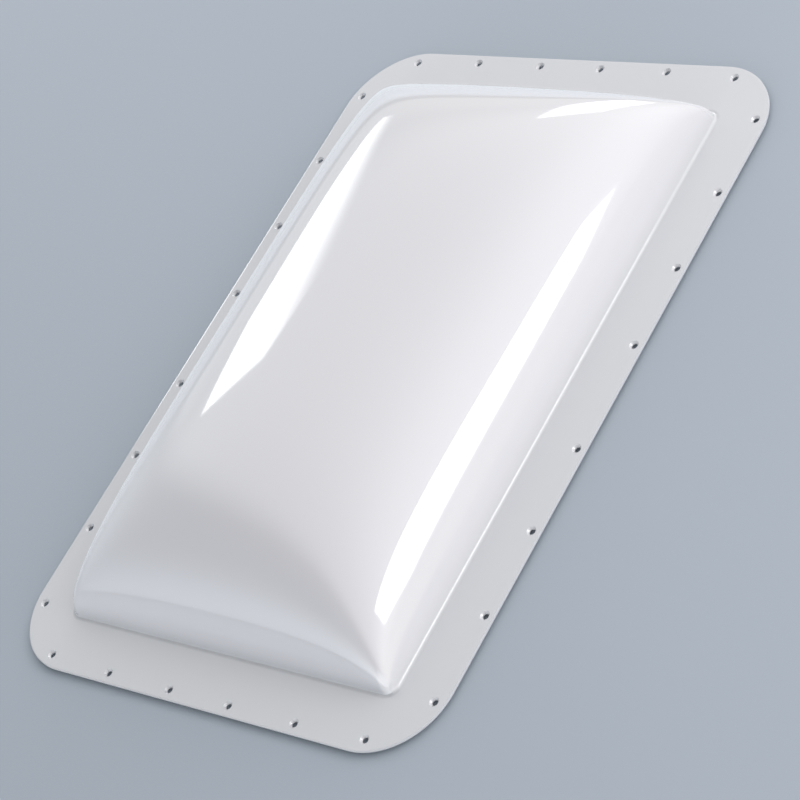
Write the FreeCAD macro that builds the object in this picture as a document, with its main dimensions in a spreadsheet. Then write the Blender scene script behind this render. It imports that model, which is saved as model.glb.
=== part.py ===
import FreeCAD, Part
import math
import os
import PartDesign
import Sketcher
from FreeCAD import Vector

# Outer dome of a caravan roof skylight, with the sealing strip under its flange.
# Millimetres. X runs across the skylight, Y along it and Z up.
# The origin is the middle of the underside of the sealing strip, where the roof is.

# Driving dimensions: name, value, what it measures.
SIZES = [
    ("flange_width", 444.5, "flange, across"),
    ("flange_length", 647.7, "flange, along"),
    ("flange_corner_radius", 63.5, "round corner of the flange in plan"),
    ("flange_edge_chamfer", 0.4, "trimmed edge of the flange, broken by this chamfer"),
    ("sheet_thickness", 2.4, "plastic sheet as it lies in the flange"),
    ("dome_width", 351.4, "dome walls at their foot, across"),
    ("dome_length", 553.4, "dome walls at their foot, along"),
    ("crown_height", 90.0, "crown above the top face of the flange"),
    ("foot_depth", 6.2, "foot of the pillow form, below the top face of the flange"),
    ("side_share", 0.44, "share of the long sides in the pillow form, the ends have the rest"),
    ("side_flatness", 2.0, "power that flattens the crown across"),
    ("end_flatness", 4.0, "power that flattens the crown along"),
    ("wall_fullness", 0.667, "power of the wall curve, smaller is steeper at the foot"),
    ("wall_thickness", 2.0, "stretched sheet in the walls"),
    ("crown_thickness", 1.7, "stretched sheet at the crown"),
    ("hole_diameter", 5.0, "screw hole"),
    ("countersink_diameter", 8.0, "countersink at the top face"),
    ("countersink_angle", 90.0, "countersink, included angle in degrees"),
    ("hole_inset", 8.0, "hole centre to flange edge on the long sides"),
    ("end_hole_inset", 8.5, "hole centre to flange edge on the ends"),
    ("corner_hole_inset", 2.6, "extra inset of the outermost hole of each row"),
    ("side_middle_gap", 96.8, "middle two holes of a long side"),
    ("side_hole_pitch", 74.4, "the other holes of a long side"),
    ("end_middle_gap", 64.6, "middle two holes of an end"),
    ("end_hole_pitch", 69.1, "the other holes of an end"),
    ("seal_width", 19.0, "sealing strip, width"),
    ("seal_thickness", 3.2, "sealing strip, thickness"),
    ("seal_inset", 22.0, "sealing strip to flange edge"),
]

SIDE_HOLES = 4
END_HOLES = 3

# Points that the surface of the blown form passes through, crowded towards the foot, and the
# surface's cuts into patches.
FORM_POINTS_ACROSS = 24
FORM_POINTS_ALONG = 28
CROWDING = 0.9
FORM_CUTS = (0, 0.04, 0.12, 0.3, 0.7, 0.88, 0.96, 1)
FLAT = 1e-4

doc = FreeCAD.newDocument("rv_skylight")


def make_sheet():
    """Spreadsheet of the driving dimensions, each cell with its name."""
    cells = doc.addObject("Spreadsheet::Sheet", "sizes")
    for row, (name, value, meaning) in enumerate(SIZES, start=1):
        cells.set(f"A{row}", meaning)
        cells.set(f"B{row}", str(value))
        cells.setAlias(f"B{row}", name)
    doc.recompute()
    return cells


sheet = make_sheet()


def size(name):
    """Value of one driving dimension."""
    return float(sheet.get(name))


def origin_plane(body, role):
    """Origin plane of a body by its role, such as XY_Plane."""
    for feature in body.Origin.OriginFeatures:
        if feature.Role == role:
            return feature
    raise ValueError(f"{body.Label} has no {role}")


def flat_sketch(body, name, height):
    """Sketch parallel to the roof, at a height given as an expression."""
    sketch = body.newObject("Sketcher::SketchObject", name)
    sketch.AttachmentSupport = [(origin_plane(body, "XY_Plane"), "")]
    sketch.MapMode = "FlatFace"
    sketch.setExpression("AttachmentOffset.Base.z", height)
    return sketch


def named_constraint(sketch, name, expression, *definition):
    """Dimension of a sketch that follows the spreadsheet."""
    number = sketch.addConstraint(Sketcher.Constraint(*definition))
    sketch.renameConstraint(number, name)
    sketch.setExpression(f"Constraints.{name}", expression)


def draw_flange_outline(sketch):
    """Rectangle with round corners, centred on the origin."""
    half_x = size("flange_width") / 2
    half_y = size("flange_length") / 2
    radius = size("flange_corner_radius")
    corners = [(1, -1), (1, 1), (-1, 1), (-1, -1)]
    for number, (sx, sy) in enumerate(corners):
        centre = Vector(sx * (half_x - radius), sy * (half_y - radius), 0)
        start = (number - 1) * math.pi / 2
        circle = Part.Circle(centre, Vector(0, 0, 1), radius)
        sketch.addGeometry(Part.ArcOfCircle(circle, start, start + math.pi / 2))
    for number in range(4):
        here = sketch.Geometry[number].EndPoint
        there = sketch.Geometry[(number + 1) % 4].StartPoint
        sketch.addGeometry(Part.LineSegment(here, there))
    for number in range(4):
        line = number + 4
        following = (number + 1) % 4
        sketch.addConstraint(Sketcher.Constraint("Tangent", number, 2, line, 1))
        sketch.addConstraint(Sketcher.Constraint("Tangent", line, 2, following, 1))
    sketch.addConstraint(Sketcher.Constraint("Vertical", 4))
    sketch.addConstraint(Sketcher.Constraint("Horizontal", 5))
    for number in (1, 2, 3):
        sketch.addConstraint(Sketcher.Constraint("Equal", 0, number))
    sketch.addConstraint(Sketcher.Constraint("Symmetric", 0, 3, 2, 3, -1, 1))
    named_constraint(sketch, "width", "sizes.flange_width", "DistanceX", 6, 1, 4, 1, 2 * half_x)
    named_constraint(sketch, "length", "sizes.flange_length", "DistanceY", 7, 1, 5, 1, 2 * half_y)
    named_constraint(sketch, "corner", "sizes.flange_corner_radius", "Radius", 0, radius)


def make_flange_blank():
    """Flat sheet with round corners and broken edges, lying on the sealing strip."""
    body = doc.addObject("PartDesign::Body", "flange_blank")
    sketch = flat_sketch(body, "flange_outline", "sizes.seal_thickness")
    draw_flange_outline(sketch)
    pad = body.newObject("PartDesign::Pad", "flange_sheet")
    pad.Profile = sketch
    pad.setExpression("Length", "sizes.sheet_thickness")
    doc.recompute()
    rims = [
        f"Edge{number}"
        for number, edge in enumerate(pad.Shape.Edges, start=1)
        if edge.BoundBox.ZLength < size("sheet_thickness") / 2
    ]
    trim = body.newObject("PartDesign::Chamfer", "trimmed_edge")
    trim.Base = (pad, rims)
    trim.setExpression("Size", "sizes.flange_edge_chamfer")
    doc.recompute()
    return body


def side_curve(across):
    """Wall and crown across the skylight: 1 in the middle, 0 at the foot."""
    return max(0.0, 1 - abs(across) ** size("side_flatness")) ** size("wall_fullness")


def end_curve(along):
    """The same along the skylight."""
    return max(0.0, 1 - abs(along) ** size("end_flatness")) ** size("wall_fullness")


def side_curve_inverse(value):
    """How far across the side curve has this value."""
    return (1 - value ** (1 / size("wall_fullness"))) ** (1 / size("side_flatness"))


def end_curve_inverse(value):
    """How far along the end curve has this value."""
    return (1 - value ** (1 / size("wall_fullness"))) ** (1 / size("end_flatness"))


def pillow_level(across, along):
    """Relative height of the blown form, 1 at the crown, where across and along run from -1 to 1.

    The side curve and the end curve are blended so that the hips are sharp at the corners of
    the foot and fade into the crown.
    """
    share = size("side_share")
    return 1 / math.sqrt(share / side_curve(across) ** 2 + (1 - share) / end_curve(along) ** 2)


def crowded(place):
    """Place of a line of points, from -1 to 1, for an even place from 0 to 1."""
    bend = CROWDING * math.pi / 2
    return math.sin(bend * (2 * place - 1)) / math.sin(bend)


def pillow_surface(half_width, half_length, crown, foot, base):
    """Surface of the blown form above its base. Its rim is the form's level line there."""
    share = size("side_share")
    level = (base - foot) / (crown - foot)

    def reach_across(along):
        rest = 1 / level ** 2 - (1 - share) / end_curve(along) ** 2
        return side_curve_inverse(math.sqrt(share / rest))

    def reach_along(across):
        rest = 1 / level ** 2 - share / side_curve(across) ** 2
        return end_curve_inverse(math.sqrt((1 - share) / rest))

    # The corner of the level line is where both curves count alike.
    corner_across = side_curve_inverse(level * math.sqrt(2 * share))
    corner_along = end_curve_inverse(level * math.sqrt(2 * (1 - share)))
    grid = []
    for i in range(FORM_POINTS_ACROSS + 1):
        column = crowded(i / FORM_POINTS_ACROSS)
        line = []
        for j in range(FORM_POINTS_ALONG + 1):
            row = crowded(j / FORM_POINTS_ALONG)
            across = column * reach_across(row * corner_along)
            along = row * reach_along(column * corner_across)
            rim = i in (0, FORM_POINTS_ACROSS) or j in (0, FORM_POINTS_ALONG)
            height = base if rim else foot + (crown - foot) * pillow_level(across, along)
            line.append(Vector(half_width * across, half_length * along, height))
        grid.append(line)
    surface = Part.BSplineSurface()
    surface.interpolate(grid)
    return surface


def pillow_solid(half_width, half_length, crown, foot, base):
    """Solid between the blown form and its flat base."""
    surface = pillow_surface(half_width, half_length, crown, foot, base)
    low_u, high_u, low_v, high_v = surface.bounds()
    cuts_u = [low_u + share * (high_u - low_u) for share in FORM_CUTS]
    cuts_v = [low_v + share * (high_v - low_v) for share in FORM_CUTS]
    patches = []
    for start_u, end_u in zip(cuts_u, cuts_u[1:]):
        for start_v, end_v in zip(cuts_v, cuts_v[1:]):
            patch = surface.copy()
            patch.segment(start_u, end_u, start_v, end_v)
            patches.append(patch.toShape())
    skin = Part.Shell(patches)
    skin.sewShape()
    rim = [edge for edge in skin.Edges if abs(edge.BoundBox.ZMax - base) < FLAT]
    closed = Part.Shell(patches + [Part.Face(Part.Wire(Part.__sortEdges__(rim)))])
    closed.sewShape()
    return Part.Solid(closed)


def make_pillow(name, half_width, half_length, crown, base):
    """Blown form with its foot hidden below the top face of the flange."""
    foot = size("seal_thickness") + size("sheet_thickness") - size("foot_depth")
    pillow = doc.addObject("Part::Feature", name)
    pillow.Shape = pillow_solid(half_width, half_length, crown, foot, base)
    return pillow


def make_formed_sheet():
    """Flange and dome as one sheet: outer form on the flange, hollow cut out from below."""
    underside = size("seal_thickness")
    top = underside + size("sheet_thickness")
    crown = top + size("crown_height")
    half_width = size("dome_width") / 2
    half_length = size("dome_length") / 2
    wall = size("wall_thickness")
    blank = make_flange_blank()
    outer_form = make_pillow("outer_form", half_width, half_length, crown, top)
    hollow_form = make_pillow("hollow_form", half_width - wall, half_length - wall,
                              crown - size("crown_thickness"), underside)
    joined = doc.addObject("Part::Fuse", "flange_and_form")
    joined.Base = blank
    joined.Tool = outer_form
    formed = doc.addObject("Part::Cut", "formed_sheet")
    formed.Base = joined
    formed.Tool = hollow_form
    doc.recompute()
    return formed


def draw_hole_centres(sketch):
    """Circles of one quarter of the hole pattern: a long side's half row and an end's half row."""
    quarter = []
    for number in range(SIDE_HOLES):
        x = "sizes.flange_width / 2 - sizes.hole_inset"
        if number == SIDE_HOLES - 1:
            x += " - sizes.corner_hole_inset"
        quarter.append((x, f"sizes.side_middle_gap / 2 + {number} * sizes.side_hole_pitch"))
    for number in range(END_HOLES):
        y = "sizes.flange_length / 2 - sizes.end_hole_inset"
        if number == END_HOLES - 1:
            y += " - sizes.corner_hole_inset"
        quarter.append((f"sizes.end_middle_gap / 2 + {number} * sizes.end_hole_pitch", y))
    for number, (x, y) in enumerate(quarter):
        start = Vector(50 + 10 * number, 50 + 10 * number, 0)
        sketch.addGeometry(Part.Circle(start, Vector(0, 0, 1), size("hole_diameter") / 2))
        named_constraint(sketch, f"x{number}", x, "DistanceX", -1, 1, number, 3, start.x)
        named_constraint(sketch, f"y{number}", y, "DistanceY", -1, 1, number, 3, start.y)
        named_constraint(sketch, f"d{number}", "sizes.hole_diameter", "Diameter", number, size("hole_diameter"))


def make_outer_dome(formed):
    """The one-piece dome: the formed sheet with its countersunk screw holes."""
    body = doc.addObject("PartDesign::Body", "outer_dome")
    body.BaseFeature = formed
    doc.recompute()
    sketch = flat_sketch(body, "hole_centres", "sizes.seal_thickness + sizes.sheet_thickness")
    draw_hole_centres(sketch)
    doc.recompute()
    hole = body.newObject("PartDesign::Hole", "screw_hole")
    hole.Profile = sketch
    doc.recompute()
    hole.ThreadType = "None"
    hole.DepthType = "ThroughAll"
    hole.HoleCutType = "Countersink"
    hole.HoleCutCustomValues = True
    hole.setExpression("Diameter", "sizes.hole_diameter")
    hole.setExpression("HoleCutDiameter", "sizes.countersink_diameter")
    hole.setExpression("HoleCutCountersinkAngle", "sizes.countersink_angle")
    doc.recompute()

    pattern = body.newObject("PartDesign::MultiTransform", "hole_pattern")
    pattern.Originals = [hole]
    mirrors = []
    for name, role in (("left_and_right", "YZ_Plane"), ("front_and_back", "XZ_Plane")):
        mirror = body.newObject("PartDesign::Mirrored", name)
        mirror.MirrorPlane = (origin_plane(body, role), [""])
        mirrors.append(mirror)
    pattern.Transformations = mirrors
    body.Tip = pattern
    doc.recompute()
    return body


def make_seal_strip(name, length_x, length_y, low_x, low_y):
    """One straight length of sealing strip, its low corner at an expression in X and Y."""
    strip = doc.addObject("Part::Box", name)
    strip.Label = name
    strip.setExpression("Length", length_x)
    strip.setExpression("Width", length_y)
    strip.setExpression("Height", "sizes.seal_thickness")
    strip.setExpression("Placement.Base.x", low_x)
    strip.setExpression("Placement.Base.y", low_y)
    return strip


def make_seal_strips():
    """Four butt-jointed lengths: the end strips run right across, the side strips between them."""
    outer_x = "(sizes.flange_width / 2 - sizes.seal_inset)"
    outer_y = "(sizes.flange_length / 2 - sizes.seal_inset)"
    inner_y = f"({outer_y} - sizes.seal_width)"
    return [
        make_seal_strip("seal_strip_front", f"2 * {outer_x}", "sizes.seal_width",
                        f"-{outer_x}", f"-{outer_y}"),
        make_seal_strip("seal_strip_back", f"2 * {outer_x}", "sizes.seal_width",
                        f"-{outer_x}", inner_y),
        make_seal_strip("seal_strip_left", "sizes.seal_width", f"2 * {inner_y}",
                        f"-{outer_x}", f"-{inner_y}"),
        make_seal_strip("seal_strip_right", "sizes.seal_width", f"2 * {inner_y}",
                        f"{outer_x} - sizes.seal_width", f"-{inner_y}"),
    ]


def check(subparts):
    """Stop on any failed object or unusable shape."""
    for item in doc.Objects:
        if "Invalid" in item.State or "Error" in item.State:
            raise RuntimeError(f"{item.Label} failed: {item.State}")
    for subpart in subparts:
        if subpart.Shape.isNull() or not subpart.Shape.isValid():
            raise RuntimeError(f"{subpart.Label} has no valid shape")


def main():
    subparts = [make_outer_dome(make_formed_sheet())] + make_seal_strips()
    doc.recompute()
    check(subparts)
    os.makedirs("parts", exist_ok=True)
    for subpart in subparts:
        subpart.Shape.exportStep(f"parts/{subpart.Label}.step")
        print(subpart.Label, round(subpart.Shape.Volume), "mm3", subpart.Shape.BoundBox)


main()
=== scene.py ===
import math

import bpy
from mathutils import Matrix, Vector
from mathutils.kdtree import KDTree


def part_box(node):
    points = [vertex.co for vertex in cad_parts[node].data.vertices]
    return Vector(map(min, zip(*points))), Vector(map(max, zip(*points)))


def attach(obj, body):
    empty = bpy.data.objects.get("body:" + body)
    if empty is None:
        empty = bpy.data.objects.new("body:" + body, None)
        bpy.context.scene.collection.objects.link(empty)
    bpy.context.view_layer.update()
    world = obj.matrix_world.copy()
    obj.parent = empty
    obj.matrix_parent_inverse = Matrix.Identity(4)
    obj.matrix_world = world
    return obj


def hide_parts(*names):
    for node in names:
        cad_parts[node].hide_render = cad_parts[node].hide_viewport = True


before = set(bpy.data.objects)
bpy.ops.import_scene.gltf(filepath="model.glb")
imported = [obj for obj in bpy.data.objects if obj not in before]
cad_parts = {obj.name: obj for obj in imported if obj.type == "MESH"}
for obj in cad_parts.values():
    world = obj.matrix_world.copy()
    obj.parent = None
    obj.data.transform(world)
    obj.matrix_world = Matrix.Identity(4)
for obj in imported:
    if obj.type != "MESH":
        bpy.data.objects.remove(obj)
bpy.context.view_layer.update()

# Looks of a caravan roof skylight: a glossy opal dome formed from one sheet, with a flat screw
# flange, on lengths of foam sealing tape. Metres. X runs across, Y along and Z up.

SHEET_LOW, SHEET_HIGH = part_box("outer_dome")
HALF_WIDTH = SHEET_HIGH.x
HALF_LENGTH = SHEET_HIGH.y
UNDERSIDE = SHEET_LOW.z
CROWN = SHEET_HIGH.z

# Flange.
FLANGE_THICKNESS = 0.0024
FLANGE_TOP = UNDERSIDE + FLANGE_THICKNESS
CORNER_RADIUS = 0.0635
EDGE_RADIUS = 0.0004
EDGE_STEPS = 3
EDGE_ANGLE = 60
EDGE_SUPPORT = 0.0008
SHARP_ANGLE = 38

# Blown dome. The sheet gets thin over the first share of its rise, THINNING_SHARE.
DOME_HALF_WIDTH = 0.1757
DOME_HALF_LENGTH = 0.2767
FOOT_DEPTH = 0.0062
FOOT = FLANGE_TOP - FOOT_DEPTH
SIDE_SHARE = 0.44
SIDE_FLATNESS = 2.0
END_FLATNESS = 4.0
WALL_FULLNESS = 0.667
WALL_THICKNESS = 0.0020
CROWN_THICKNESS = 0.0017
SIDE_CREASE_RADIUS = 0.0030
END_CREASE_RADIUS = 0.0012
CREASE_REACH = 0.84
CREASE_STEPS = 8
DOME_CORNER_RADIUS = 0.010
DOME_CORNER_FULLNESS = 8
THINNING_SHARE = 0.08
COLUMNS = 156
ROWS = 196
CROWDING = 0.92

# Screw holes.
HOLE_RADIUS = 0.0025
COUNTERSINK_RADIUS = 0.0040
HOLE_INSET = 0.008
END_HOLE_INSET = 0.0085
CORNER_HOLE_INSET = 0.0026
SIDE_MIDDLE_GAP = 0.0968
SIDE_PITCH = 0.0744
SIDE_HOLES = 4
END_MIDDLE_GAP = 0.0646
END_PITCH = 0.0691
END_HOLES = 3
DRILL_SIDES = 48
DRILL_PAST_SHEET = 0.002
COUNTERSINK_EASE = 0.00025
COUNTERSINK_EASE_RISE = 0.0006

# Foam tape.
TAPE_NODES = ("seal_strip_front", "seal_strip_back", "seal_strip_left", "seal_strip_right")
TAPE_ROUNDING = 0.0007
TAPE_ROUNDING_STEPS = 4
TAPE_CUTS = 3
TAPE_BULGE = 0.0005
BUTT_GAP = 0.0003

# Colours. The opal one is lighter on the dome than on the flange, going over to the dome's within a
# rise, and clouds of it lie everywhere.
OPAL_FLANGE_COLOUR = (0.545, 0.553, 0.581, 1)
OPAL_DOME_COLOUR = (0.600, 0.594, 0.624, 1)
OPAL_DOME_RISE = 0.014
OPAL_DOME_SHARE = 0.85
OPAL_CLOUD_SHARE = 0.2
FILM_COLOUR = (0.62, 0.61, 0.60, 1)
FOAM_COLOUR = (0.030, 0.030, 0.032, 1)
FOAM_CELL_COLOUR = (0.075, 0.075, 0.078, 1)
FOAM_DUST_COLOUR = (0.30, 0.29, 0.28, 1)

# Painted shadow in a line along the crease at the foot of the dome's two ends: how far outside the
# dome's foot its middle lies, where along the corner it is full, as a share of the corner's radius,
# and how weak its weakest patches are.
FOOT_SHADOW_COLOUR = (0.40, 0.41, 0.44, 1)
FOOT_SHADOW_OFFSET = 0.0016
FOOT_SHADOW_FULL_SHARE = 0.3
FOOT_SHADOW_WEAKEST = 0.6

# Floor.
FLOOR_SIZE = 14
FLOOR_DROP = 0.0002
FLOOR_COLOUR = (0.36, 0.404, 0.46, 1)
FLOOR_IN_REFLECTIONS = 0.36

# Room light: the azimuth, strength and tint of each pale wall. Low walls stand all round, and
# higher ones at the back.
NEUTRAL = (1.0, 1.0, 1.0)
PALE_COOL = (0.96, 1.0, 1.03)
COOL = (0.92, 1.0, 1.06)
WARM = (1.035, 1.0, 0.96)
LOW_ELEVATION = 5
LOW_TIGHTNESS = 8.0
LOW_WALLS = (
    (-135, 0.90, COOL), (-90, 2.45, PALE_COOL), (-45, 1.95, NEUTRAL), (0, 1.50, WARM),
    (45, 0.50, NEUTRAL), (90, 0.60, NEUTRAL), (135, 0.50, NEUTRAL), (180, 0.80, COOL),
)
HIGH_ELEVATION = 35
HIGH_TIGHTNESS = 5.0
HIGH_WALLS = ((45, 0.60, NEUTRAL), (90, 0.66, NEUTRAL))

# Lamps: name, azimuth, elevation, distance, strength, outline, fade and dimming. An outline is a
# list of points to the left and up on the lamp, as the skylight sees it. A fade is a direction of
# the same kind, the place along it where no light is left, and the place from where all of it is.
# A dimming is how far from the skylight the lamp is full, from where it stays dim, and its share of
# light there.
SOFT_BOXES = (
    ("soft_box_right", 25, 34, 2.0, 2.9,
     ((-0.67, 0.58), (-0.67, -0.12), (-0.45, -0.52), (0.13, -0.52), (0.32, -0.30), (0.30, -0.02)),
     None, None),
    ("soft_box_left", 153, 17, 2.0, 2.2,
     ((-0.43, -0.24), (-0.20, -0.14), (0.20, -0.02), (0.40, 0.28),
      (0.15, 0.55), (-0.07, 0.54), (-0.25, 0.34), (-0.54, -0.17)),
     ((-0.83, 0.56), 0.35, 0.14), None),
    ("soft_box_back", 100, 26, 2.0, 1.6,
     ((0.60, 0.10), (0.10, 0.08), (-0.04, -0.28), (0.0, -0.54), (0.43, -0.80), (0.58, -0.30)),
     None, None),
    ("ceiling_diffuser", 90, 90, 1.6, 0.70,
     ((25.0, -8.35), (-5.0, 2.86), (-5.0, -25.0), (25.0, -25.0)),
     ((-0.35, -0.937), -0.93, -0.34), (2.3, 5.7, 0.35)),
)

# Camera at the photograph's viewing angle.
CAMERA_PLACE = (1.46414, -0.84873, 1.39502)
CAMERA_TURN = (42.559, 29.175, 32.411)
CAMERA_LENS = 123.56
CAMERA_SENSOR = 36


def activate(piece):
    """Leaves one object selected and active."""
    bpy.ops.object.select_all(action="DESELECT")
    piece.select_set(True)
    bpy.context.view_layer.objects.active = piece


def apply_all(piece):
    """Applies every modifier, in order."""
    activate(piece)
    for modifier in list(piece.modifiers):
        bpy.ops.object.modifier_apply(modifier=modifier.name)


def finish_piece(piece, material, slot, *nodes):
    """Gives a finished mesh its shading, material and place in the frame."""
    activate(piece)
    bpy.ops.object.shade_smooth_by_angle(angle=math.radians(SHARP_ANGLE))
    piece.data.materials.clear()
    piece.data.materials.append(material)
    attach(piece, "root")
    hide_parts(*nodes)


def side_curve(across):
    """Wall and crown across the skylight: 1 in the middle, 0 at the foot."""
    return max(0.0, 1 - abs(across) ** SIDE_FLATNESS) ** WALL_FULLNESS


def end_curve(along):
    """The same along the skylight."""
    return max(0.0, 1 - abs(along) ** END_FLATNESS) ** WALL_FULLNESS


def side_reach(value):
    """How far across the side curve has this value."""
    return (1 - value ** (1 / WALL_FULLNESS)) ** (1 / SIDE_FLATNESS)


def end_reach(value):
    """How far along the end curve has this value."""
    return (1 - value ** (1 / WALL_FULLNESS)) ** (1 / END_FLATNESS)


def dome_height(across, along):
    """Height of the blown form, where across and along run from -1 to 1."""
    side = SIDE_SHARE / side_curve(across) ** 2
    end = (1 - SIDE_SHARE) / end_curve(along) ** 2
    return FOOT + (CROWN - FOOT) / math.sqrt(side + end)


def level_point(column, row, level):
    """Plan point, from -1 to 1, on a net whose rim is the dome's level line."""
    corner_across = side_reach(level * math.sqrt(2 * SIDE_SHARE))
    corner_along = end_reach(level * math.sqrt(2 * (1 - SIDE_SHARE)))
    end_part = (1 - SIDE_SHARE) / end_curve(row * corner_along) ** 2
    side_part = SIDE_SHARE / side_curve(column * corner_across) ** 2
    across = column * side_reach(math.sqrt(SIDE_SHARE / (1 / level ** 2 - end_part)))
    along = row * end_reach(math.sqrt((1 - SIDE_SHARE) / (1 / level ** 2 - side_part)))
    return across, along


def foot_corner():
    """Where the dome's corner would be on the flange if it weren't rounded."""
    level = (FLANGE_TOP - FOOT) / (CROWN - FOOT)
    across = level_point(1, 0, level)[0]
    along = level_point(0, 1, level)[1]
    return DOME_HALF_WIDTH * across, DOME_HALF_LENGTH * along


def turn_corner(x, y, corner):
    """Draws plan points near a dome corner in, so that the wall turns it in a radius."""
    u = abs(x) - corner[0] + DOME_CORNER_RADIUS
    v = abs(y) - corner[1] + DOME_CORNER_RADIUS
    if min(u, v) <= 0:
        return x, y
    power = DOME_CORNER_FULLNESS
    square_reach = (u ** power + v ** power) ** (1 / power)
    share = square_reach / math.hypot(u, v) - 1
    return math.copysign(abs(x) + u * share, x), math.copysign(abs(y) + v * share, y)


def dome_point(column, row, height, corner):
    """Point of the dome for a place on the net whose rim lies at that height."""
    across, along = level_point(column, row, (height - FOOT) / (CROWN - FOOT))
    rim = max(abs(column), abs(row)) > 1 - 1e-6
    top = height if rim else dome_height(across, along)
    x, y = turn_corner(DOME_HALF_WIDTH * across, DOME_HALF_LENGTH * along, corner)
    return Vector((x, y, top))


def crowded(place):
    """Net lines, even over the crown and closer at the foot."""
    bend = CROWDING * math.pi / 2
    return math.sin(bend * place) / math.sin(bend)


def extrude_rim(piece, old_ring, new_ring):
    """Extrudes the open rim of a mesh and moves it from one ring of points to the next."""
    finder = KDTree(len(old_ring))
    for number, point in enumerate(old_ring):
        finder.insert(point, number)
    finder.balance()
    activate(piece)
    bpy.ops.object.mode_set(mode="EDIT")
    bpy.ops.mesh.select_mode(type="EDGE")
    bpy.ops.mesh.select_all(action="DESELECT")
    bpy.ops.mesh.select_non_manifold(extend=False, use_wire=False, use_multi_face=False,
                                     use_non_contiguous=False, use_verts=False)
    bpy.ops.mesh.extrude_edges_move()
    bpy.ops.object.mode_set(mode="OBJECT")
    for vertex in piece.data.vertices:
        if vertex.select:
            vertex.co = new_ring[finder.find(vertex.co)[1]]


def net_rim():
    """Places on the net's rim, once round."""
    across = [crowded(2 * i / COLUMNS - 1) for i in range(COLUMNS + 1)]
    along = [crowded(2 * j / ROWS - 1) for j in range(ROWS + 1)]
    across[0] = along[0] = -1.0
    across[-1] = along[-1] = 1.0
    low = [(a, -1.0) for a in across[:-1]]
    right = [(1.0, b) for b in along[:-1]]
    high = [(a, 1.0) for a in reversed(across[1:])]
    left = [(-1.0, b) for b in reversed(along[1:])]
    return low + right + high + left


def outward(ring):
    """Plan normals of a closed ring that runs anticlockwise."""
    normals = []
    for number in range(len(ring)):
        step = ring[(number + 1) % len(ring)] - ring[number - 1]
        normals.append(Vector((step.y, -step.x, 0)).normalized())
    return normals


def flange_outline(foot_ring, inset):
    """Point of the flange's outline, moved in by inset, for each point of the dome's foot."""
    straight_x = HALF_WIDTH - CORNER_RADIUS
    straight_y = HALF_LENGTH - CORNER_RADIUS
    radius = CORNER_RADIUS - inset
    halfway = len(foot_ring) / 2
    corner_runs = {}
    for number, point in enumerate(foot_ring):
        if abs(point.x) > straight_x and abs(point.y) > straight_y:
            corner = (math.copysign(1, point.x), math.copysign(1, point.y))
            corner_runs.setdefault(corner, []).append(number)
    ring = []
    for point in foot_ring:
        x, y = point.x, point.y
        if abs(y) <= straight_y:
            x = math.copysign(HALF_WIDTH - inset, x)
        else:
            y = math.copysign(HALF_LENGTH - inset, y)
        ring.append(Vector((x, y, FLANGE_TOP)))
    for (sx, sy), run in corner_runs.items():
        if run[-1] - run[0] >= len(run):
            run = [n for n in run if n > halfway] + [n for n in run if n <= halfway]
        start = math.atan2(sy, sx) - math.pi / 4
        for step, number in enumerate(run):
            angle = start + math.pi / 2 * (step + 0.5) / len(run)
            ring[number] = Vector((sx * straight_x + radius * math.cos(angle),
                                   sy * straight_y + radius * math.sin(angle), FLANGE_TOP))
    return ring


def crease_point(share, wall, foot, normal):
    """Point of the rounded crease at the dome's foot, from the wall to the flange."""
    radius = END_CREASE_RADIUS + (SIDE_CREASE_RADIUS - END_CREASE_RADIUS) * normal.x ** 2
    start = wall.lerp(foot, 1 - radius / SIDE_CREASE_RADIUS)
    end = foot + normal * CREASE_REACH * radius
    return start * (1 - share) ** 2 + foot * 2 * share * (1 - share) + end * share ** 2


def hole_places():
    """Centres of all the screw holes: one quarter of the pattern, mirrored twice."""
    quarter = []
    for number in range(SIDE_HOLES):
        extra = CORNER_HOLE_INSET if number == SIDE_HOLES - 1 else 0.0
        place = SIDE_MIDDLE_GAP / 2 + number * SIDE_PITCH
        quarter.append((HALF_WIDTH - HOLE_INSET - extra, place))
    for number in range(END_HOLES):
        extra = CORNER_HOLE_INSET if number == END_HOLES - 1 else 0.0
        place = END_MIDDLE_GAP / 2 + number * END_PITCH
        quarter.append((place, HALF_LENGTH - END_HOLE_INSET - extra))
    return [(sx * x, sy * y) for x, y in quarter for sx in (-1, 1) for sy in (-1, 1)]


def countersink_cutter():
    """One drill with its countersink, spun from its profile."""
    bpy.ops.object.select_all(action="DESELECT")
    bpy.ops.mesh.primitive_circle_add(vertices=DRILL_SIDES, radius=HOLE_RADIUS, fill_type="NGON")
    cutter = bpy.context.object
    bottom = UNDERSIDE - DRILL_PAST_SHEET
    cone_foot = FLANGE_TOP - (COUNTERSINK_RADIUS - HOLE_RADIUS)
    for vertex in cutter.data.vertices:
        vertex.co.z = bottom
    steps = [
        (HOLE_RADIUS, cone_foot),
        (COUNTERSINK_RADIUS, FLANGE_TOP),
        (COUNTERSINK_RADIUS + COUNTERSINK_EASE, FLANGE_TOP + COUNTERSINK_EASE_RISE),
        (COUNTERSINK_RADIUS + COUNTERSINK_EASE, FLANGE_TOP + DRILL_PAST_SHEET),
    ]
    last = HOLE_RADIUS
    height = bottom
    bpy.ops.object.mode_set(mode="EDIT")
    bpy.ops.mesh.select_all(action="SELECT")
    for radius, level in steps:
        bpy.ops.mesh.extrude_region_move(TRANSFORM_OT_translate={"value": (0, 0, level - height)})
        scale = radius / last
        bpy.ops.transform.resize(value=(scale, scale, 1), center_override=(0, 0, level))
        last, height = radius, level
    bpy.ops.mesh.select_all(action="SELECT")
    bpy.ops.mesh.normals_make_consistent(inside=False)
    bpy.ops.object.mode_set(mode="OBJECT")
    return cutter


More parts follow.
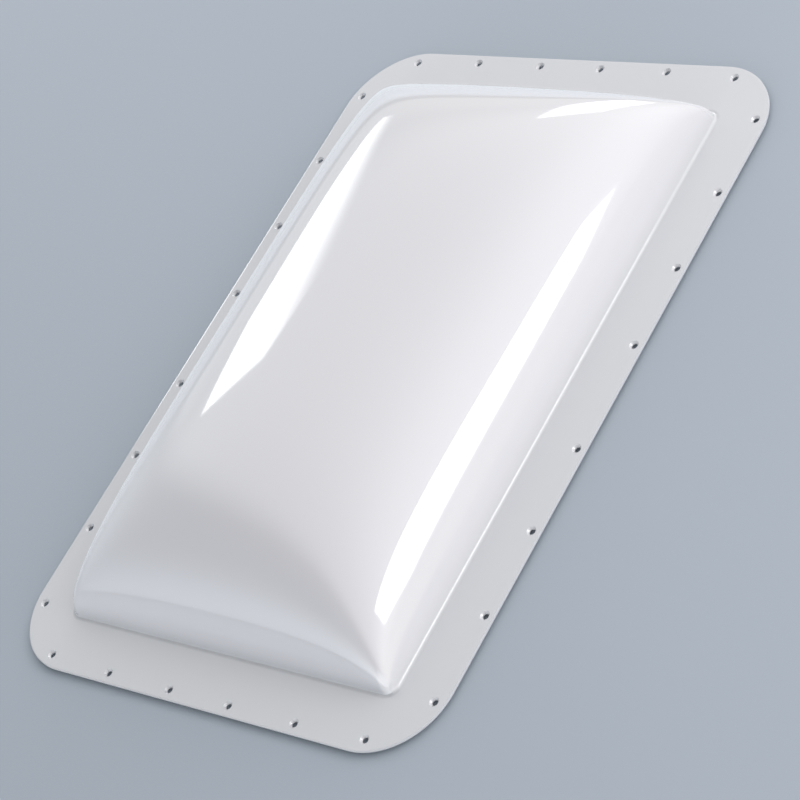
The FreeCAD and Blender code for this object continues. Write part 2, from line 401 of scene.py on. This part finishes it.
def drill_holes(piece):
    """Cuts every screw hole with a copy of one cutter."""
    first = countersink_cutter()
    drills = []
    for x, y in hole_places():
        drill = first.copy()
        drill.data = first.data.copy()
        drill.location = (x, y, 0)
        bpy.context.collection.objects.link(drill)
        drills.append(drill)
    bpy.data.objects.remove(first)
    bpy.ops.object.select_all(action="DESELECT")
    for drill in drills:
        drill.select_set(True)
    bpy.context.view_layer.objects.active = drills[0]
    bpy.ops.object.join()
    all_drills = bpy.context.object
    cut = piece.modifiers.new("screw_holes", "BOOLEAN")
    cut.operation = "DIFFERENCE"
    cut.solver = "EXACT"
    cut.object = all_drills
    apply_all(piece)
    bpy.data.objects.remove(all_drills)


def set_thickness(piece):
    """Weights for the sheet's thickness: full in the flange, drawn thin in the wall and crown."""
    group = piece.vertex_groups.new(name="stretch")
    for vertex in piece.data.vertices:
        rise = (vertex.co.z - FLANGE_TOP) / (CROWN - FLANGE_TOP)
        wall = WALL_THICKNESS + (CROWN_THICKNESS - WALL_THICKNESS) * rise
        blend = min(1.0, rise / THINNING_SHARE)
        thickness = FLANGE_THICKNESS + (wall - FLANGE_THICKNESS) * blend
        group.add([vertex.index], thickness / FLANGE_THICKNESS, "REPLACE")
    solid = piece.modifiers.new("sheet_thickness", "SOLIDIFY")
    solid.thickness = FLANGE_THICKNESS
    solid.offset = -1
    solid.use_even_offset = True
    solid.vertex_group = group.name
    solid.thickness_vertex_group = 0


def make_dome(material):
    """The formed sheet: dome net, crease, flange, thickness, broken edge, screw holes."""
    bpy.ops.object.select_all(action="DESELECT")
    bpy.ops.mesh.primitive_grid_add(x_subdivisions=COLUMNS, y_subdivisions=ROWS, size=2)
    dome = bpy.context.object
    dome.name = "dome_sheet"
    crease_start = FLANGE_TOP + CREASE_REACH * SIDE_CREASE_RADIUS
    corner = foot_corner()
    for vertex in dome.data.vertices:
        column, row = crowded(vertex.co.x), crowded(vertex.co.y)
        vertex.co = dome_point(column, row, crease_start, corner)
    rim = net_rim()
    wall_ring = [dome_point(a, b, crease_start, corner) for a, b in rim]
    foot_ring = [dome_point(a, b, FLANGE_TOP, corner) for a, b in rim]
    normals = outward(foot_ring)
    rings = [wall_ring]
    for step in range(1, CREASE_STEPS + 1):
        share = step / CREASE_STEPS
        places = zip(wall_ring, foot_ring, normals)
        rings.append([crease_point(share, *place) for place in places])
    flat_ring = rings[-1]
    rings.append([point + normal * EDGE_SUPPORT for point, normal in zip(flat_ring, normals)])
    rings.append(flange_outline(foot_ring, EDGE_SUPPORT + EDGE_RADIUS))
    rings.append(flange_outline(foot_ring, 0.0))
    for old_ring, new_ring in zip(rings, rings[1:]):
        extrude_rim(dome, old_ring, new_ring)
    set_thickness(dome)
    edge = dome.modifiers.new("broken_edge", "BEVEL")
    edge.width = EDGE_RADIUS
    edge.segments = EDGE_STEPS
    edge.limit_method = "ANGLE"
    edge.angle_limit = math.radians(EDGE_ANGLE)
    apply_all(dome)
    drill_holes(dome)
    finish_piece(dome, material, "opal_plastic", "outer_dome")


def make_tape(node, material):
    """One length of foam tape, squeezed between roof and flange so that its sides bulge."""
    low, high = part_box(node)
    middle = (low + high) / 2
    size = high - low
    along = 0 if size.x > size.y else 1
    bpy.ops.object.select_all(action="DESELECT")
    bpy.ops.mesh.primitive_cube_add(size=1, location=(0, 0, 0))
    tape = bpy.context.object
    tape.name = node.replace("seal_strip", "foam_tape")
    width = min(size.x, size.y) - 2 * TAPE_BULGE
    length = max(size.x, size.y) - 2 * BUTT_GAP
    for vertex in tape.data.vertices:
        side = vertex.co.y * width
        reach = vertex.co.x * length
        level = vertex.co.z * size.z
        place = (reach, side, level) if along == 0 else (-side, reach, level)
        vertex.co = middle + Vector(place)
    rounding = tape.modifiers.new("rounded", "BEVEL")
    rounding.width = TAPE_ROUNDING
    rounding.segments = TAPE_ROUNDING_STEPS
    apply_all(tape)
    activate(tape)
    bpy.ops.object.mode_set(mode="EDIT")
    bpy.ops.mesh.select_all(action="SELECT")
    bpy.ops.mesh.subdivide(number_cuts=TAPE_CUTS)
    bpy.ops.object.mode_set(mode="OBJECT")
    for vertex in tape.data.vertices:
        offset = vertex.co[1 - along] - middle[1 - along]
        level = (vertex.co.z - middle.z) / (size.z / 2)
        vertex.co[1 - along] += TAPE_BULGE * max(0.0, 1 - level ** 2) * (2 * offset / width)
    finish_piece(tape, material, "sealing_foam", node)


def socket(group, name, way, kind, value=None):
    """Adds one input or output to a node group."""
    made = group.interface.new_socket(name=name, in_out=way, socket_type=kind)
    if value is not None:
        made.default_value = value


def new_group(name, inputs, output):
    """Node group with inputs (name, kind, value) and one output (name, kind).

    Gives the group, its nodes and links, and the nodes for its inputs and its output.
    """
    group = bpy.data.node_groups.new(name, "ShaderNodeTree")
    for given in inputs:
        socket(group, given[0], "INPUT", *given[1:])
    socket(group, output[0], "OUTPUT", output[1])
    nodes = group.nodes
    return group, nodes, group.links, nodes.new("NodeGroupInput"), nodes.new("NodeGroupOutput")


def maths(nodes, operation, kind="ShaderNodeMath"):
    """Node for one operation on values, or on vectors."""
    made = nodes.new(kind)
    made.operation = operation
    return made


def vector_maths(nodes, operation):
    """Node for one operation on vectors."""
    return maths(nodes, operation, "ShaderNodeVectorMath")


def map_range(nodes, start=0.0, end=1.0, low=0.0, high=1.0, smooth=False):
    """Node that turns values from start to end into values from low to high."""
    made = nodes.new("ShaderNodeMapRange")
    made.interpolation_type = "SMOOTHSTEP" if smooth else "LINEAR"
    made.inputs["From Min"].default_value = start
    made.inputs["From Max"].default_value = end
    made.inputs["To Min"].default_value = low
    made.inputs["To Max"].default_value = high
    return made


def mix_colours(nodes, **colours):
    """Node that mixes colours A and B, with those given fixed."""
    made = nodes.new("ShaderNodeMix")
    made.data_type = "RGBA"
    for name, colour in colours.items():
        made.inputs[name].default_value = colour
    return made


def noise(nodes, **values):
    """Noise texture with its own values."""
    made = nodes.new("ShaderNodeTexNoise")
    for name, value in values.items():
        made.inputs[name].default_value = value
    return made


def new_bump(nodes, strength, distance):
    """Bump node of a strength and a depth."""
    made = nodes.new("ShaderNodeBump")
    made.inputs["Strength"].default_value = strength
    made.inputs["Distance"].default_value = distance
    return made


def make_unevenness_group():
    """Slow waves and fine grain for a formed surface, as one height."""
    inputs = (("Wave Size", "NodeSocketFloat", 9.0), ("Grain Size", "NodeSocketFloat", 400.0),
              ("Grain Share", "NodeSocketFloat", 0.1))
    output = ("Height", "NodeSocketFloat")
    group, nodes, links, given, result = new_group("unevenness", inputs, output)
    place = nodes.new("ShaderNodeTexCoord")
    wave = noise(nodes, Detail=1.5, Roughness=0.4)
    grain = noise(nodes, Detail=3.0)
    scaled = maths(nodes, "MULTIPLY_ADD")
    links.new(place.outputs["Object"], wave.inputs["Vector"])
    links.new(place.outputs["Object"], grain.inputs["Vector"])
    links.new(given.outputs["Wave Size"], wave.inputs["Scale"])
    links.new(given.outputs["Grain Size"], grain.inputs["Scale"])
    links.new(grain.outputs["Fac"], scaled.inputs[0])
    links.new(given.outputs["Grain Share"], scaled.inputs[1])
    links.new(wave.outputs["Fac"], scaled.inputs[2])
    links.new(scaled.outputs["Value"], result.inputs["Height"])
    return group


def make_dust_group():
    """Fine dust and handling marks, as a mask."""
    inputs = (("Speck Size", "NodeSocketFloat", 700.0), ("Patch Size", "NodeSocketFloat", 14.0),
              ("Amount", "NodeSocketFloat", 0.2))
    group, nodes, links, given, result = new_group("dust", inputs, ("Mask", "NodeSocketFloat"))
    place = nodes.new("ShaderNodeTexCoord")
    specks = nodes.new("ShaderNodeTexVoronoi")
    patches = noise(nodes, Detail=4.0)
    small = map_range(nodes, start=0.02, end=0.16, low=1.0, high=0.0)
    where = map_range(nodes, start=0.45, end=0.7)
    both = maths(nodes, "MULTIPLY")
    amount = maths(nodes, "MULTIPLY")
    links.new(place.outputs["Object"], specks.inputs["Vector"])
    links.new(place.outputs["Object"], patches.inputs["Vector"])
    links.new(given.outputs["Speck Size"], specks.inputs["Scale"])
    links.new(given.outputs["Patch Size"], patches.inputs["Scale"])
    links.new(specks.outputs["Distance"], small.inputs["Value"])
    links.new(patches.outputs["Fac"], where.inputs["Value"])
    links.new(small.outputs["Result"], both.inputs[0])
    links.new(where.outputs["Result"], both.inputs[1])
    links.new(both.outputs["Value"], amount.inputs[0])
    links.new(given.outputs["Amount"], amount.inputs[1])
    links.new(amount.outputs["Value"], result.inputs["Mask"])
    return group


def make_foot_shadow_group():
    """Mask of a painted shadow: a thin, patchy line along the crease at the foot of the dome's two
    ends.
    """
    inputs = (("Half Width", "NodeSocketFloat", 0.002), ("Amount", "NodeSocketFloat", 0.3))
    group, nodes, links, given, result = new_group("foot_shadow", inputs, ("Mask", "NodeSocketFloat"))
    corner_x, corner_y = foot_corner()
    # The height drops out, because all of the sheet lies below 1 m.
    centre = (corner_x - DOME_CORNER_RADIUS, corner_y - DOME_CORNER_RADIUS, 1.0)
    place = nodes.new("ShaderNodeTexCoord")
    quarter = vector_maths(nodes, "ABSOLUTE")
    from_centre = vector_maths(nodes, "SUBTRACT")
    from_centre.inputs[1].default_value = centre
    outside = vector_maths(nodes, "MAXIMUM")
    outside.inputs[1].default_value = (0, 0, 0)
    reach = vector_maths(nodes, "LENGTH")
    beyond = maths(nodes, "SUBTRACT")
    beyond.inputs[1].default_value = DOME_CORNER_RADIUS + FOOT_SHADOW_OFFSET
    gap = maths(nodes, "ABSOLUTE")
    fading = map_range(nodes, low=1.0, high=0.0, smooth=True)
    broken = noise(nodes, Scale=90.0)
    patchy = map_range(nodes, start=0.25, end=0.75, low=FOOT_SHADOW_WEAKEST)
    axes = nodes.new("ShaderNodeSeparateXYZ")
    full = corner_y - FOOT_SHADOW_FULL_SHARE * DOME_CORNER_RADIUS
    at_end = map_range(nodes, start=centre[1], end=full, smooth=True)
    both = maths(nodes, "MULTIPLY")
    ends = maths(nodes, "MULTIPLY")
    amount = maths(nodes, "MULTIPLY")
    links.new(place.outputs["Object"], quarter.inputs[0])
    links.new(quarter.outputs["Vector"], axes.inputs["Vector"])
    links.new(axes.outputs["Y"], at_end.inputs["Value"])
    links.new(quarter.outputs["Vector"], from_centre.inputs[0])
    links.new(from_centre.outputs["Vector"], outside.inputs[0])
    links.new(outside.outputs["Vector"], reach.inputs[0])
    links.new(reach.outputs["Value"], beyond.inputs[0])
    links.new(beyond.outputs["Value"], gap.inputs[0])
    links.new(gap.outputs["Value"], fading.inputs["Value"])
    links.new(given.outputs["Half Width"], fading.inputs["From Max"])
    links.new(place.outputs["Object"], broken.inputs["Vector"])
    links.new(broken.outputs["Fac"], patchy.inputs["Value"])
    links.new(fading.outputs["Result"], both.inputs[0])
    links.new(patchy.outputs["Result"], both.inputs[1])
    links.new(both.outputs["Value"], ends.inputs[0])
    links.new(at_end.outputs["Result"], ends.inputs[1])
    links.new(ends.outputs["Value"], amount.inputs[0])
    links.new(given.outputs["Amount"], amount.inputs[1])
    links.new(amount.outputs["Value"], result.inputs["Mask"])
    return group


def new_material(name):
    """Material with a fresh Principled shader."""
    material = bpy.data.materials.new(name)
    material.use_nodes = True
    tree = material.node_tree
    return material, tree.nodes, tree.links, tree.nodes["Principled BSDF"]


def place_group(nodes, group, **values):
    """A node group with its own values."""
    placed = nodes.new("ShaderNodeGroup")
    placed.node_tree = group
    for name, value in values.items():
        placed.inputs[name.replace("_", " ")].default_value = value
    return placed


def make_opal_plastic(unevenness, dust, foot_shadow):
    """Opal sheet under a clear gloss layer: lighter on the dome than on the flange, faintly dusty,
    with a painted shadow in a line along the foot of the dome's ends.
    """
    material, nodes, links, shader = new_material("opal_plastic")
    shader.inputs["IOR"].default_value = 1.8
    shader.inputs["Coat Weight"].default_value = 1.0
    shader.inputs["Coat IOR"].default_value = 1.6
    shader.inputs["Coat Roughness"].default_value = 0.04
    waves = place_group(nodes, unevenness, Wave_Size=7.0, Grain_Size=500.0, Grain_Share=0.012)
    film = place_group(nodes, dust, Speck_Size=650.0, Patch_Size=12.0, Amount=0.5)
    # Mask of the painted shadow along the foot of the dome's ends.
    crease = place_group(nodes, foot_shadow, Half_Width=0.0024, Amount=0.85)
    place = nodes.new("ShaderNodeTexCoord")
    axes = nodes.new("ShaderNodeSeparateXYZ")
    # Lighter colour on the dome than on the flange, reached within a rise above the flange.
    drawn = map_range(nodes, start=FLANGE_TOP, end=FLANGE_TOP + OPAL_DOME_RISE,
                      high=OPAL_DOME_SHARE, smooth=True)
    tint = noise(nodes, Scale=5.0, Detail=2.0)
    cloud = maths(nodes, "MULTIPLY_ADD")
    cloud.inputs[1].default_value = OPAL_CLOUD_SHARE
    colour = mix_colours(nodes, A=OPAL_FLANGE_COLOUR, B=OPAL_DOME_COLOUR)
    dusty = mix_colours(nodes, B=FILM_COLOUR)
    # Painted shade: the base colour darkens in a line along the foot of the dome's ends.
    painted_foot_shadow = mix_colours(nodes, B=FOOT_SHADOW_COLOUR)
    rough = map_range(nodes, low=0.07, high=0.3)
    bump = new_bump(nodes, strength=0.35, distance=0.0006)
    links.new(place.outputs["Object"], axes.inputs["Vector"])
    links.new(axes.outputs["Z"], drawn.inputs["Value"])
    links.new(place.outputs["Object"], tint.inputs["Vector"])
    links.new(tint.outputs["Fac"], cloud.inputs[0])
    links.new(drawn.outputs["Result"], cloud.inputs[2])
    links.new(cloud.outputs["Value"], colour.inputs["Factor"])
    links.new(colour.outputs["Result"], dusty.inputs["A"])
    links.new(film.outputs["Mask"], dusty.inputs["Factor"])
    links.new(dusty.outputs["Result"], painted_foot_shadow.inputs["A"])
    links.new(crease.outputs["Mask"], painted_foot_shadow.inputs["Factor"])
    links.new(painted_foot_shadow.outputs["Result"], shader.inputs["Base Color"])
    links.new(film.outputs["Mask"], rough.inputs["Value"])
    links.new(rough.outputs["Result"], shader.inputs["Roughness"])
    links.new(waves.outputs["Height"], bump.inputs["Height"])
    links.new(bump.outputs["Normal"], shader.inputs["Normal"])
    return material


def make_foam(unevenness, dust):
    """Dark closed-cell foam with open pores on its cut sides."""
    material, nodes, links, shader = new_material("sealing_foam")
    waves = place_group(nodes, unevenness, Wave_Size=60.0, Grain_Size=900.0, Grain_Share=0.6)
    film = place_group(nodes, dust, Speck_Size=500.0, Patch_Size=40.0, Amount=0.7)
    cells = nodes.new("ShaderNodeTexVoronoi")
    cells.inputs["Scale"].default_value = 1400.0
    place = nodes.new("ShaderNodeTexCoord")
    colour = mix_colours(nodes, A=FOAM_COLOUR, B=FOAM_CELL_COLOUR)
    dusty = mix_colours(nodes, B=FOAM_DUST_COLOUR)
    height = maths(nodes, "ADD")
    bump = new_bump(nodes, strength=0.6, distance=0.0003)
    shader.inputs["Roughness"].default_value = 0.85
    links.new(place.outputs["Object"], cells.inputs["Vector"])
    links.new(cells.outputs["Distance"], colour.inputs["Factor"])
    links.new(colour.outputs["Result"], dusty.inputs["A"])
    links.new(film.outputs["Mask"], dusty.inputs["Factor"])
    links.new(dusty.outputs["Result"], shader.inputs["Base Color"])
    links.new(cells.outputs["Distance"], height.inputs[0])
    links.new(waves.outputs["Height"], height.inputs[1])
    links.new(height.outputs["Value"], bump.inputs["Height"])
    links.new(bump.outputs["Normal"], shader.inputs["Normal"])
    return material


def make_floor():
    """Plain pale floor, which the gloss of the plastic sees a little brighter."""
    bpy.ops.object.select_all(action="DESELECT")
    bpy.ops.mesh.primitive_plane_add(size=FLOOR_SIZE, location=(0, 0, -FLOOR_DROP))
    floor = bpy.context.object
    floor.name = "floor"
    material, nodes, links, shader = new_material("pale_floor")
    shader.inputs["Base Color"].default_value = FLOOR_COLOUR
    shader.inputs["Roughness"].default_value = 0.7
    ray = nodes.new("ShaderNodeLightPath")
    share = maths(nodes, "MULTIPLY")
    share.inputs[1].default_value = FLOOR_IN_REFLECTIONS
    glow = nodes.new("ShaderNodeEmission")
    both = nodes.new("ShaderNodeAddShader")
    links.new(ray.outputs["Is Glossy Ray"], share.inputs[0])
    links.new(share.outputs["Value"], glow.inputs["Strength"])
    links.new(shader.outputs["BSDF"], both.inputs[0])
    links.new(glow.outputs["Emission"], both.inputs[1])
    links.new(both.outputs["Shader"], nodes["Material Output"].inputs["Surface"])
    floor.data.materials.append(material)


def direction(azimuth, elevation):
    """Unit vector at an azimuth from +X towards +Y and an elevation, in degrees."""
    a, e = math.radians(azimuth), math.radians(elevation)
    return Vector((math.cos(e) * math.cos(a), math.cos(e) * math.sin(a), math.sin(e)))


def make_lamp_material(name, strength, fade, dimming):
    """Even light of a lamp, which lets the light behind it through and may fade and dim."""
    material = bpy.data.materials.new(name)
    material.use_nodes = True
    nodes, links = material.node_tree.nodes, material.node_tree.links
    nodes.clear()
    glow = nodes.new("ShaderNodeEmission")
    glow.inputs["Strength"].default_value = strength
    clear = nodes.new("ShaderNodeBsdfTransparent")
    both = nodes.new("ShaderNodeAddShader")
    result = nodes.new("ShaderNodeOutputMaterial")
    links.new(glow.outputs["Emission"], both.inputs[0])
    links.new(clear.outputs["BSDF"], both.inputs[1])
    links.new(both.outputs["Shader"], result.inputs["Surface"])
    place = nodes.new("ShaderNodeTexCoord")
    shares = []
    if fade:
        across, none_left, all_there = fade
        reach = vector_maths(nodes, "DOT_PRODUCT")
        reach.inputs[1].default_value = across
        share = map_range(nodes, start=none_left, end=all_there, smooth=True)
        shares.append((reach, share))
    if dimming:
        full_until, dim_from, dim_share = dimming
        away = vector_maths(nodes, "LENGTH")
        share = map_range(nodes, start=full_until, end=dim_from, low=1.0, high=dim_share, smooth=True)
        shares.append((away, share))
    light = glow.inputs["Strength"]
    for where, share in shares:
        product = maths(nodes, "MULTIPLY")
        product.inputs[1].default_value = strength
        links.new(place.outputs["Object"], where.inputs[0])
        links.new(where.outputs["Value"], share.inputs["Value"])
        links.new(share.outputs["Result"], product.inputs[0])
        links.new(product.outputs["Value"], light)
        light = product.inputs[1]
    return material


def make_soft_box(name, azimuth, elevation, distance, strength, outline, fade, dimming):
    """Flat lamp that faces the skylight."""
    towards = direction(azimuth, elevation)
    left = direction(azimuth + 90, 0)
    up = towards.cross(left)
    corners = [towards * distance + left * u + up * v for u, v in outline]
    mesh = bpy.data.meshes.new(name)
    mesh.from_pydata(corners, [], [list(range(len(corners)))])
    lamp = bpy.data.objects.new(name, mesh)
    bpy.context.collection.objects.link(lamp)
    if fade:
        (u, v), none_left, all_there = fade
        fade = (left * u + up * v, none_left, all_there)
    mesh.materials.append(make_lamp_material(name, strength, fade, dimming))
    lamp.visible_camera = False


def make_glow_group():
    """Soft light from one side of the room: brightest in one direction and fading all round it."""
    inputs = (("Direction", "NodeSocketVector"), ("Tightness", "NodeSocketFloat", 5.0),
              ("Colour", "NodeSocketColor"), ("Light Before", "NodeSocketColor", (0, 0, 0, 1)))
    group, nodes, links, given, result = new_group("glow", inputs, ("Light", "NodeSocketColor"))
    place = nodes.new("ShaderNodeTexCoord")
    facing = vector_maths(nodes, "DOT_PRODUCT")
    near_side = maths(nodes, "MAXIMUM")
    near_side.inputs[1].default_value = 0.0
    fading = maths(nodes, "POWER")
    total = vector_maths(nodes, "MULTIPLY_ADD")
    links.new(place.outputs["Generated"], facing.inputs[0])
    links.new(given.outputs["Direction"], facing.inputs[1])
    links.new(facing.outputs["Value"], near_side.inputs[0])
    links.new(near_side.outputs["Value"], fading.inputs[0])
    links.new(given.outputs["Tightness"], fading.inputs[1])
    links.new(fading.outputs["Value"], total.inputs[0])
    links.new(given.outputs["Colour"], total.inputs[1])
    links.new(given.outputs["Light Before"], total.inputs[2])
    links.new(total.outputs["Vector"], result.inputs["Light"])
    return group


def make_room():
    """World background: the light of all the pale walls."""
    world = bpy.data.worlds.new("room")
    bpy.context.scene.world = world
    world.use_nodes = True
    nodes, links = world.node_tree.nodes, world.node_tree.links
    glow = make_glow_group()
    light = None
    rows = (
        (LOW_WALLS, LOW_ELEVATION, LOW_TIGHTNESS),
        (HIGH_WALLS, HIGH_ELEVATION, HIGH_TIGHTNESS),
    )
    for walls, elevation, tightness in rows:
        for azimuth, strength, tint in walls:
            colour = [strength * part for part in tint] + [1]
            wall = place_group(nodes, glow, Direction=direction(azimuth, elevation),
                               Tightness=tightness, Colour=colour)
            if light:
                links.new(light, wall.inputs["Light Before"])
            light = wall.outputs["Light"]
    links.new(light, nodes["Background"].inputs["Color"])
    nodes["Background"].inputs["Strength"].default_value = 1.0


def make_lights():
    """Room light, three soft boxes that make the streaks on the dome, and a diffuser overhead."""
    make_room()
    for lamp in SOFT_BOXES:
        make_soft_box(*lamp)


def make_camera():
    """Camera at the photograph's place and angle."""
    data = bpy.data.cameras.new("camera")
    data.lens = CAMERA_LENS
    data.sensor_width = CAMERA_SENSOR
    camera = bpy.data.objects.new("camera", data)
    camera.location = CAMERA_PLACE
    camera.rotation_euler = [math.radians(turn) for turn in CAMERA_TURN]
    bpy.context.collection.objects.link(camera)
    bpy.context.scene.camera = camera


def main():
    bpy.context.scene.view_settings.view_transform = "Standard"
    make_camera()
    unevenness = make_unevenness_group()
    dust = make_dust_group()
    make_dome(make_opal_plastic(unevenness, dust, make_foot_shadow_group()))
    foam = make_foam(unevenness, dust)
    for node in TAPE_NODES:
        make_tape(node, foam)
    make_floor()
    make_lights()


main()
